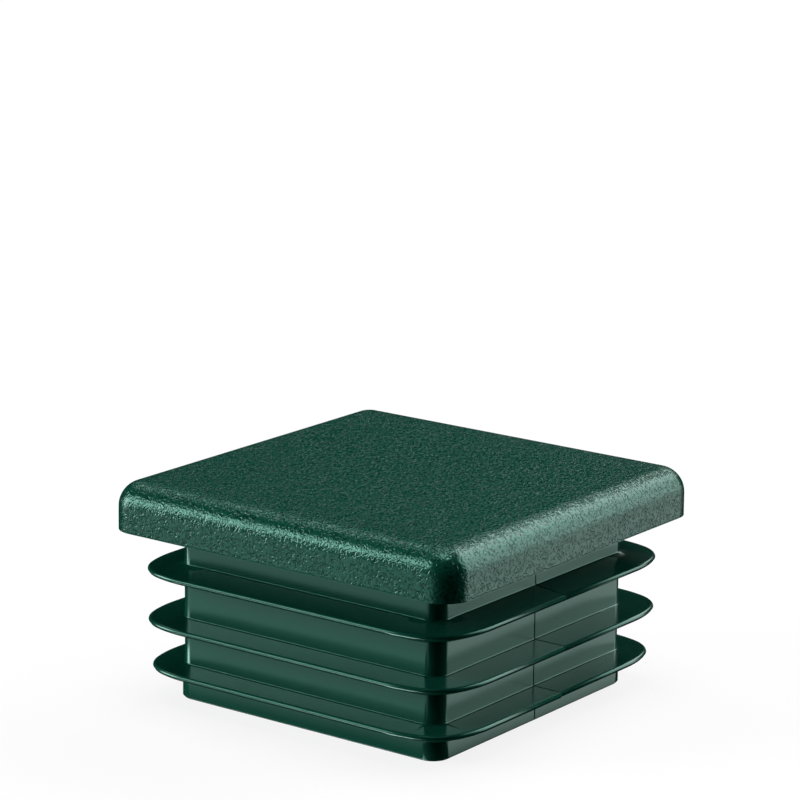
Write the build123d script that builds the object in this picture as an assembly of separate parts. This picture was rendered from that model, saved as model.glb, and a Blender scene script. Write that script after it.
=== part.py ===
from build123d import *
import os
from math import cos, radians, sin, tan

# Square ribbed end cap for a steel tube.
#
# One injection moulding: a low, soft-edged head that sits flush on the end of the tube, and under it a
# hollow square plug with three sprung ribs, which bend as they enter the bore and hold the cap there.
#
# The frame: millimetres, +Z up and out of the tube. The origin is the centre of the head's underside,
# so the tube's end lies in the plane z = 0 and the plug hangs below it.
#
# The outside of the plug is formed by two mould halves that slide apart along Y. They meet in the plane
# y = 0 and leave a fine groove there, down the plug's two X sides.

# The tube that the cap closes
tube_width = 40.0          # outside of the tube, and of the head
tube_wall = 1.5            # wall of the tube that the ribs are sized for

# Head
head_height = 4.7
head_corner_r = 2.75       # upright corners
head_edge_r = 2.5          # round edge between sides and top
head_draft = 0.35          # degrees, sides lean in towards the top
head_skin = 2.4            # plastic left over the hollow

# Plug
neck_clearance = 3.23      # from the tube's bore to the plain neck between the ribs
neck_corner_r = 1.6
skirt_clearance = 3.03     # from the bore to the thicker skirt below the last rib
skirt_height = 3.15        # from the last rib's tip to the open end
skirt_lead_in = 0.18       # bevel round the open end
plug_wall = 1.8            # at the neck
core_corner_r = 1.0
core_draft = 0.5           # degrees, the hollow narrows towards the head
core_ceiling_r = 0.8

# Ribs, from the head down. The last one enters the tube first, and just clears the bore.
rib_squeeze = (0.42, 0.38, -0.02)   # how far each tip stands out past the bore before it bends
rib_fall = (0.30, 0.0, 0.0)         # how much lower the top of each rib is at its tip than at its root
first_rib_depth = 4.05              # from the head's underside to the first tip
rib_pitches = (4.98, 4.57)          # from each tip to the next
rib_corner_r = 4.5                  # round the tips, seen from above
rib_easing_r = 12.0                 # the slower curve that leads into and out of each corner
rib_easing_turn = 17.0              # degrees that it turns through
rib_tip_r = 0.26                    # the tip is round above and bevelled below
rib_slope = 22.0                    # degrees, underside, rising outwards
rib_heel_slope = 10.5               # degrees, the flatter stretch of the underside beside the neck
rib_heel_length = 0.9
rib_root_depth = 0.25               # how far each rib runs on inside the neck's wall
root_leg = 0.12                     # slope in the angle between each rib's top and the neck

# Where the mould halves meet
witness_leg = 0.10                  # each half ends in a bevel this wide, so two make the groove
rib_overrun = (0.0, 0.0, 0.12)      # how much further out the -Y half forms each tip

# For the geometry
bevel_angle = 45.0                  # degrees, for every bevel made by a tapered extrusion
pick_margin = 0.001                 # how close an edge must be to the place that picks it

# Worked out from the sizes above
bore_half = tube_width / 2 - tube_wall
neck_half = bore_half - neck_clearance
skirt_half = bore_half - skirt_clearance
rib_depths = [first_rib_depth + sum(rib_pitches[:i]) for i in range(len(rib_squeeze))]
plug_depth = rib_depths[-1] + skirt_height


def rounded_square(half_width, corner_r):
    """A square outline with round corners, centred on the origin."""
    return RectangleRounded(2 * half_width, 2 * half_width, corner_r)


def edges_at_height(solid, z):
    """The edges that lie flat at one height."""
    return solid.edges().filter_by_position(Axis.Z, z - pick_margin, z + pick_margin)


def head():
    """The soft-edged square slab that shows on the finished tube."""
    slab = extrude(rounded_square(tube_width / 2, head_corner_r), head_height, taper=head_draft)
    return fillet(edges_at_height(slab, head_height), head_edge_r)


def parted(solid):
    """The -Y half of a prism, bevelled where it meets the other half."""
    half = split(solid, Plane.XZ, keep=Keep.TOP)
    upright = half.edges().filter_by(Axis.Z).filter_by_position(Axis.Y, -pick_margin, pick_margin)
    return chamfer(upright, witness_leg)


def neck_half_body():
    """The -Y half of the plain square neck, down to the last rib."""
    prism = extrude(rounded_square(neck_half, neck_corner_r), -rib_depths[-1])
    return parted(prism)


def skirt_half_body():
    """The -Y half of the thicker skirt, from the last rib to the open end."""
    skirt_corner_r = neck_corner_r + neck_clearance - skirt_clearance
    outline = Pos(0, 0, -plug_depth) * rounded_square(skirt_half, skirt_corner_r)
    prism = extrude(outline, skirt_height)
    prism = chamfer(edges_at_height(prism, -plug_depth), skirt_lead_in)
    return parted(prism)


def rib_section(tip, depth, fall):
    """One rib cut through across its length: x is outwards and y is up.

    The tip is a quarter round above and a short bevel below. The top runs back to the neck, level or
    with a slight rise. The underside drops away at the rib's slope, then at the heel's flatter slope.
    """
    centre_x = tip - rib_tip_r
    centre_z = -depth
    reach = centre_x - neck_half
    top_lean = fall / reach
    slope = radians(rib_slope)
    heel = tan(radians(rib_heel_slope))
    inner_x = neck_half - rib_root_depth

    tip_top = (centre_x, centre_z + rib_tip_r)
    tip_out = (centre_x + rib_tip_r, centre_z)
    tip_low = (centre_x + rib_tip_r * sin(slope), centre_z - rib_tip_r * cos(slope))
    knee_x = neck_half + rib_heel_length
    knee = (knee_x, tip_low[1] - (tip_low[0] - knee_x) * tan(slope))
    root_low = (inner_x, knee[1] - (knee_x - inner_x) * heel)
    root_top = (inner_x, tip_top[1] + (centre_x - inner_x) * top_lean)

    outline = RadiusArc(tip_top, tip_out, rib_tip_r)
    outline += Polyline(tip_out, tip_low, knee, root_low, root_top, tip_top)
    return make_face(outline)


def rib_half_path(tip):
    """The way round the -Y half of one rib's tip, from the +X side to the -X side."""
    turn = radians(rib_easing_turn)
    corner_run = rib_easing_r * (1 + sin(turn) - cos(turn)) + rib_corner_r * (cos(turn) - sin(turn))
    straight = Line((tip, -witness_leg), (tip, corner_run - tip))
    lead_in = JernArc(straight @ 1, straight % 1, rib_easing_r, -rib_easing_turn)
    corner = JernArc(lead_in @ 1, lead_in % 1, rib_corner_r, 2 * rib_easing_turn - 90)
    lead_out = JernArc(corner @ 1, corner % 1, rib_easing_r, -rib_easing_turn)
    quarter = straight + lead_in + corner + lead_out
    front = Line((tip - corner_run, -tip), (corner_run - tip, -tip))
    return quarter + front + mirror(quarter, Plane.YZ)


def rib_half_body(squeeze, depth, fall, overrun):
    """The half of one rib on the -Y side, swept round two corners, with a bevel all round each end."""
    tip = bore_half + squeeze + overrun
    section = Plane.XZ.offset(witness_leg) * rib_section(tip, depth, fall)
    bevelled_end = extrude(section, -witness_leg, taper=bevel_angle)
    return sweep(section, rib_half_path(tip)) + bevelled_end + mirror(bevelled_end, Plane.YZ)


def root_half_slope(depth, fall):
    """The sloping band in the angle between one rib's top and the neck, round the -Y half."""
    sunk = root_leg / 2
    reach = root_leg + sunk
    rib_top = rib_tip_r - depth + fall
    base = Pos(0, 0, rib_top - sunk) * rounded_square(neck_half + reach, neck_corner_r + reach)
    band = extrude(base, reach, taper=bevel_angle)
    return split(band, Plane.XZ.offset(witness_leg), keep=Keep.TOP)


def plug_half(overruns):
    """Everything outside the hollow that the -Y mould half forms."""
    half = neck_half_body() + skirt_half_body()
    for squeeze, depth, fall, overrun in zip(rib_squeeze, rib_depths, rib_fall, overruns):
        half += rib_half_body(squeeze, depth, fall, overrun)
        half += root_half_slope(depth, fall)
    return half


def core():
    """The hollow inside the plug, open at the lower end, with a flat round-edged ceiling."""
    ceiling = head_height - head_skin
    mouth = Pos(0, 0, -plug_depth) * rounded_square(neck_half - plug_wall, core_corner_r)
    hollow = extrude(mouth, plug_depth + ceiling, taper=core_draft)
    return fillet(edges_at_height(hollow, ceiling), core_ceiling_r)


def ribbed_end_cap():
    """The whole moulding."""
    near_half = plug_half(rib_overrun)
    far_half = Rot(0, 0, 180) * plug_half([0.0] * len(rib_overrun))
    return head() + near_half + far_half - core()


cap = ribbed_end_cap()
cap.label = "ribbed_end_cap"

os.makedirs("parts", exist_ok=True)
export_step(cap, "parts/ribbed_end_cap.step")
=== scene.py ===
"""A square ribbed tube end cap, moulded in deep green plastic, on a pale studio floor.

The cap is one moulding. Its head is finely grained, as spark-eroded moulds leave it, and the plug under it
and its hollow are smooth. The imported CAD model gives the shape; this file gives the finish, the light and
the view.
"""
import bmesh
import bpy
from math import asin, atan2, cos, degrees, pi, radians, sin
from mathutils import Matrix, Vector


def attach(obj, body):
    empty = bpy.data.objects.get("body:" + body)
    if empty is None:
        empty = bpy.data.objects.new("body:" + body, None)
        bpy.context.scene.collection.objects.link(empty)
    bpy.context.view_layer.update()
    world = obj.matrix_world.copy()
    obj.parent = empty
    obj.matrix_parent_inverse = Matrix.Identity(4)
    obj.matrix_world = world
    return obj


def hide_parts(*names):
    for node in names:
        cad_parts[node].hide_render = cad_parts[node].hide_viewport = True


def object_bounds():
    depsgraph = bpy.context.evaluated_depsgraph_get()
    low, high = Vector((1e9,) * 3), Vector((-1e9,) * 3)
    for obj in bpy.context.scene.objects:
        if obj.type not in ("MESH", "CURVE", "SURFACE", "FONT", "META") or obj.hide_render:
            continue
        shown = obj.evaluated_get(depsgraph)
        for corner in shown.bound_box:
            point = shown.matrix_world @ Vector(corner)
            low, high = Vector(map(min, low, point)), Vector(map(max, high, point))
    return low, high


MM = 0.001

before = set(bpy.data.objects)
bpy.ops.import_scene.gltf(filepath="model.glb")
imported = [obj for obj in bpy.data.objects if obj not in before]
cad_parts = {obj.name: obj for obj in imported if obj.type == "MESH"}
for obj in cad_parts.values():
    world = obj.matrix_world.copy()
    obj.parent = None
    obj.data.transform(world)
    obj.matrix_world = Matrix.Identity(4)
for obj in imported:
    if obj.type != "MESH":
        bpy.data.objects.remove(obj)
cad_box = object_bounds()


# ---------------------------------------------------------------- camera

VIEW_AZIMUTH = 36.60        # degrees, measured so that 0 looks along +Y
VIEW_ELEVATION = 13.79
VIEW_ROLL = 0.66
VIEW_DISTANCE = 330 * MM
LENS_MM = 155.46
SENSOR_MM = 36.0
PLUG_MIDDLE = Vector((0, 0, -5 * MM))
ABOVE_PLUG = 16.32 * MM     # the camera looks this far above the plug's middle
LEFT_OF_PLUG = 0.34 * MM


def toward(azimuth, elevation):
    """The direction of an azimuth and an elevation, both in degrees."""
    azimuth, elevation = radians(azimuth), radians(elevation)
    return Vector((sin(azimuth) * cos(elevation), -cos(azimuth) * cos(elevation), sin(elevation)))


def add_camera():
    """The camera, looking down on one corner of the cap, with the cap in the lower half of the picture."""
    roll = radians(VIEW_ROLL)
    back = toward(VIEW_AZIMUTH, VIEW_ELEVATION)
    level = toward(VIEW_AZIMUTH + 90, 0)
    upright = back.cross(level)
    right = level * cos(roll) + upright * sin(roll)
    up = upright * cos(roll) - level * sin(roll)
    lens = bpy.data.cameras.new("camera")
    lens.lens, lens.sensor_width = LENS_MM, SENSOR_MM
    lens.clip_start, lens.clip_end = 0.01, 10
    camera = bpy.data.objects.new("camera", lens)
    place = PLUG_MIDDLE + back * VIEW_DISTANCE + up * ABOVE_PLUG - right * LEFT_OF_PLUG
    camera.matrix_world = Matrix.Translation(place) @ Matrix((right, up, back)).transposed().to_4x4()
    bpy.context.collection.objects.link(camera)
    bpy.context.scene.camera = camera


# ---------------------------------------------------------------- shader building

class Socket:
    """A shader socket that takes Python's operators, each adding one Math node."""

    def __init__(self, graph, source):
        self.graph, self.source = graph, source

    def maths(self, operation, *others):
        return self.graph.maths(operation, self, *others)

    def __add__(self, other):
        return self.maths("ADD", other)

    def __sub__(self, other):
        return self.maths("SUBTRACT", other)

    def __rsub__(self, other):
        return self.graph.maths("SUBTRACT", other, self)

    def __mul__(self, other):
        return self.maths("MULTIPLY", other)

    def __abs__(self):
        return self.maths("ABSOLUTE")

    __radd__ = __add__
    __rmul__ = __mul__


class Graph:
    """The node tree of a material or of the world, while it is being built."""

    def __init__(self, owner):
        owner.use_nodes = True
        self.tree = owner.node_tree

    def fill(self, node, values):
        """Sets a node's sockets, by name or number, to plain values, or links other sockets to them."""
        for name, value in values.items():
            socket = node.inputs[name]
            if isinstance(value, Socket):
                self.tree.links.new(value.source, socket)
            else:
                socket.default_value = value

    def node(self, kind, output, values=None, **settings):
        """Adds a node, with its settings first and then its sockets, and returns one of its outputs."""
        made = self.tree.nodes.new(kind)
        for name, value in settings.items():
            setattr(made, name, value)
        self.fill(made, values or {})
        return Socket(self, made.outputs[output])

    def maths(self, operation, *values):
        return self.node("ShaderNodeMath", 0, dict(enumerate(values)), operation=operation)

    def xyz(self, vector):
        """The three parts of a vector."""
        parts = self.tree.nodes.new("ShaderNodeSeparateXYZ")
        self.fill(parts, {0: vector})
        return [Socket(self, part) for part in parts.outputs]

    def ramp(self, value, low, high, start=0.0, end=1.0):
        """Turns a value from start, at low, into end, at high, with a soft beginning and end."""
        return self.node("ShaderNodeMapRange", "Result", {"Value": value, "From Min": low, "From Max": high,
                         "To Min": start, "To Max": end}, interpolation_type="SMOOTHSTEP")

    def mix(self, factor, first, second):
        return self.node("ShaderNodeMixShader", 0, {0: factor, 1: first, 2: second})


# ---------------------------------------------------------------- plastic

GREEN = (0.003, 0.056, 0.036)
GLOSS_TINT = (0.38, 1.0, 0.80, 1)
ROUGHNESS = 0.20
REFRACTION = 1.5
GRAIN_PITCH = 0.36 * MM     # between the cells whose edges the wrinkles follow
GRAIN_WIDTH = 0.25          # how far the noise may lie from 0.5 and still be part of a wrinkle
GRAIN_DEPTH = 0.09 * MM     # on the flat top
SIDE_GRAIN = 0.25           # of that depth, where the mould opens along the sides
GRAIN_STARTS = 0.05 * MM    # above the head's underside
GRAIN_FULL = 0.15 * MM
HOLLOW_HALF = 14 * MM       # the hollow stays inside this, across and in height, and is smooth
HOLLOW_TOP = 3 * MM
TOP_STARTS = 4.1 * MM
TOP_FULL = 4.7 * MM
PAINTED_PIT_SHADE = 0.40            # painted shade: the green is made this dark between the wrinkles, in the pits where shade would fall


def moulded_plastic():
    """Deep green plastic, finely wrinkled on the outside of the head, and smooth on the plug and inside.
    Between the wrinkles the green is darkened as painted shade.
    """
    material = bpy.data.materials.new("moulded_plastic")
    graph = Graph(material)
    place = graph.node("ShaderNodeTexCoord", "Object")
    x, y, height = graph.xyz(place)
    across = abs(x).maths("MAXIMUM", abs(y))
    hollow = across.maths("LESS_THAN", HOLLOW_HALF) * height.maths("LESS_THAN", HOLLOW_TOP)
    on_head = graph.ramp(height, GRAIN_STARTS, GRAIN_FULL) * (1.0 - hollow)
    noise = graph.node("ShaderNodeTexNoise", "Fac", {"Vector": place, "Scale": 1 / GRAIN_PITCH, "Detail": 1.0,
                       "Roughness": 0.5, "Distortion": 0.4})
    wrinkle = graph.ramp(abs(noise - 0.5), 0.0, GRAIN_WIDTH, 1.0, 0.0)
    depth = on_head * graph.ramp(height, TOP_STARTS, TOP_FULL, SIDE_GRAIN, 1.0)
    bump = graph.node("ShaderNodeBump", "Normal", {"Height": wrinkle * depth, "Strength": 1.0,
                      "Distance": GRAIN_DEPTH})
    # painted shade: the base colour is darkened between the wrinkles, in the pits where shade would fall
    painted_shade = 1.0 - (1.0 - wrinkle) * on_head * (1.0 - PAINTED_PIT_SHADE)
    colour = graph.node("ShaderNodeVectorMath", 0, {0: GREEN, "Scale": painted_shade}, operation="SCALE")
    graph.fill(graph.tree.nodes["Principled BSDF"], {
        "Base Color": colour, "Roughness": ROUGHNESS, "Normal": bump,
        "IOR": REFRACTION, "Specular Tint": GLOSS_TINT})
    return material


# ---------------------------------------------------------------- the cap

JOIN_WITHIN = 0.0005 * MM   # corners of neighbouring faces this close are one corner
SHARP_EDGE = 50             # degrees, the least turn between two faces that shows as an edge


def moulding():
    """The cap's skin: the CAD node's own surface, joined up and shaded smooth as far as its true edges."""
    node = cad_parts["ribbed_end_cap"]
    piece = bpy.data.objects.new("end_cap_moulding", node.data.copy())
    bpy.context.collection.objects.link(piece)
    skin = bmesh.new()
    skin.from_mesh(piece.data)
    bmesh.ops.remove_doubles(skin, verts=skin.verts, dist=JOIN_WITHIN)
    for edge in skin.edges:
        edge.smooth = len(edge.link_faces) == 2 and edge.calc_face_angle() < radians(SHARP_EDGE)
    for face in skin.faces:
        face.smooth = True
    skin.to_mesh(piece.data)
    skin.free()
    normals = piece.modifiers.new("even_normals", "WEIGHTED_NORMAL")
    normals.keep_sharp = True
    normals.weight = 100
    piece.data.materials.clear()
    piece.data.materials.append(moulded_plastic())
    return piece


cap = moulding()
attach(cap, "root")
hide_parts("ribbed_end_cap")


# ---------------------------------------------------------------- studio

LEFT_SIDE, RIGHT_SIDE = 0, 90   # azimuths that the cap's two near sides face


def mirrored(side, lean):
    """Azimuth and elevation of what the camera sees mirrored in a side that leans back by some degrees.

    The sides stand upright, and their round upper edges lean back from 0 to 90 degrees.
    """
    face = toward(side, lean)
    sight = toward(VIEW_AZIMUTH, VIEW_ELEVATION)
    seen = 2 * sight.dot(face) * face - sight
    return degrees(atan2(seen.x, -seen.y)), degrees(asin(seen.z))


# Soft panels of light: where the middle is, half the width and half the height in degrees, and strength.
PANELS = (
    (mirrored(LEFT_SIDE, 0), (30, 8), 1.5),      # what the table sends up on the left side
    (mirrored(LEFT_SIDE, 25), (10, 8), 10),      # the bright line along the left edge
    (mirrored(LEFT_SIDE, 60), (15, 10), 4),      # the soft band above it
    (mirrored(RIGHT_SIDE, 0), (15, 10), 2),      # what the table sends up on the right side
    (mirrored(RIGHT_SIDE, 20), (15, 12), 4),     # the right edge
    (mirrored(RIGHT_SIDE, 45), (35, 12), 5),     # from behind, across the grain on the top
    ((-60, 10), (10, 15), 12),                   # a tall box on the left, down the plug's round corners
    ((-60, -60), (20, 12), 10),                  # up from the table, under the ribs
    ((0, 90), (360, 15), 7),                     # overhead, all round
)
PANEL_EDGE = 0.4            # the share of a half width that fades, inside its end and again outside

FLOOR_HALF = 3.0            # metres
FLOOR_GREY = (0.9, 0.9, 0.9, 1)
FLOOR_GLOW = 0.85           # the share of the floor that is plain white and takes no shadow


def pale_floor():
    """A wide white floor under the plug's open end, with a faint shadow. From below it is clear."""
    bm = bmesh.new()
    bmesh.ops.create_grid(bm, x_segments=1, y_segments=1, size=FLOOR_HALF)
    mesh = bpy.data.meshes.new("floor")
    bm.to_mesh(mesh)
    bm.free()
    floor = bpy.data.objects.new("floor", mesh)
    floor.location.z = cad_box[0].z
    floor.visible_diffuse = floor.visible_glossy = floor.visible_shadow = False
    bpy.context.collection.objects.link(floor)
    paper = bpy.data.materials.new("paper")
    graph = Graph(paper)
    lit = graph.node("ShaderNodeBsdfDiffuse", 0, {"Color": FLOOR_GREY})
    white = graph.node("ShaderNodeEmission", 0)
    under = graph.node("ShaderNodeNewGeometry", "Backfacing")
    clear = graph.node("ShaderNodeBsdfTransparent", 0)
    above = graph.mix(FLOOR_GLOW, lit, white)
    graph.fill(graph.tree.nodes["Material Output"], {"Surface": graph.mix(under, above, clear)})
    mesh.materials.append(paper)


def surround():
    """The studio round the cap: white where the camera sees it, and dark with soft panels otherwise."""
    world = bpy.data.worlds.new("surround")
    bpy.context.scene.world = world
    graph = Graph(world)
    x, y, z = graph.xyz(graph.node("ShaderNodeTexCoord", "Generated"))
    azimuth = x.maths("ARCTAN2", y * -1.0)
    elevation = z.maths("ARCSINE")
    light = 0.0
    for (middle, level), (half_width, half_height), strength in PANELS:
        across = abs((azimuth - radians(middle)).maths("WRAP", pi, -pi))
        above = abs(elevation - radians(level))
        panel = strength
        for distance, half in ((across, half_width), (above, half_height)):
            edge = radians(half)
            panel = panel * graph.ramp(distance, edge * (1 - PANEL_EDGE), edge * (1 + PANEL_EDGE), 1.0, 0.0)
        light = light + panel
    panels = graph.node("ShaderNodeBackground", 0, {"Color": (1, 1, 1, 1), "Strength": light})
    white = graph.node("ShaderNodeBackground", 0, {"Color": (1, 1, 1, 1)})
    direct = graph.node("ShaderNodeLightPath", "Is Camera Ray")
    through = graph.node("ShaderNodeLightPath", "Is Transmission Ray")
    graph.fill(graph.tree.nodes["World Output"], {"Surface": graph.mix(direct + through, panels, white)})


add_camera()
pale_floor()
surround()
bpy.context.scene.view_settings.view_transform = "Standard"
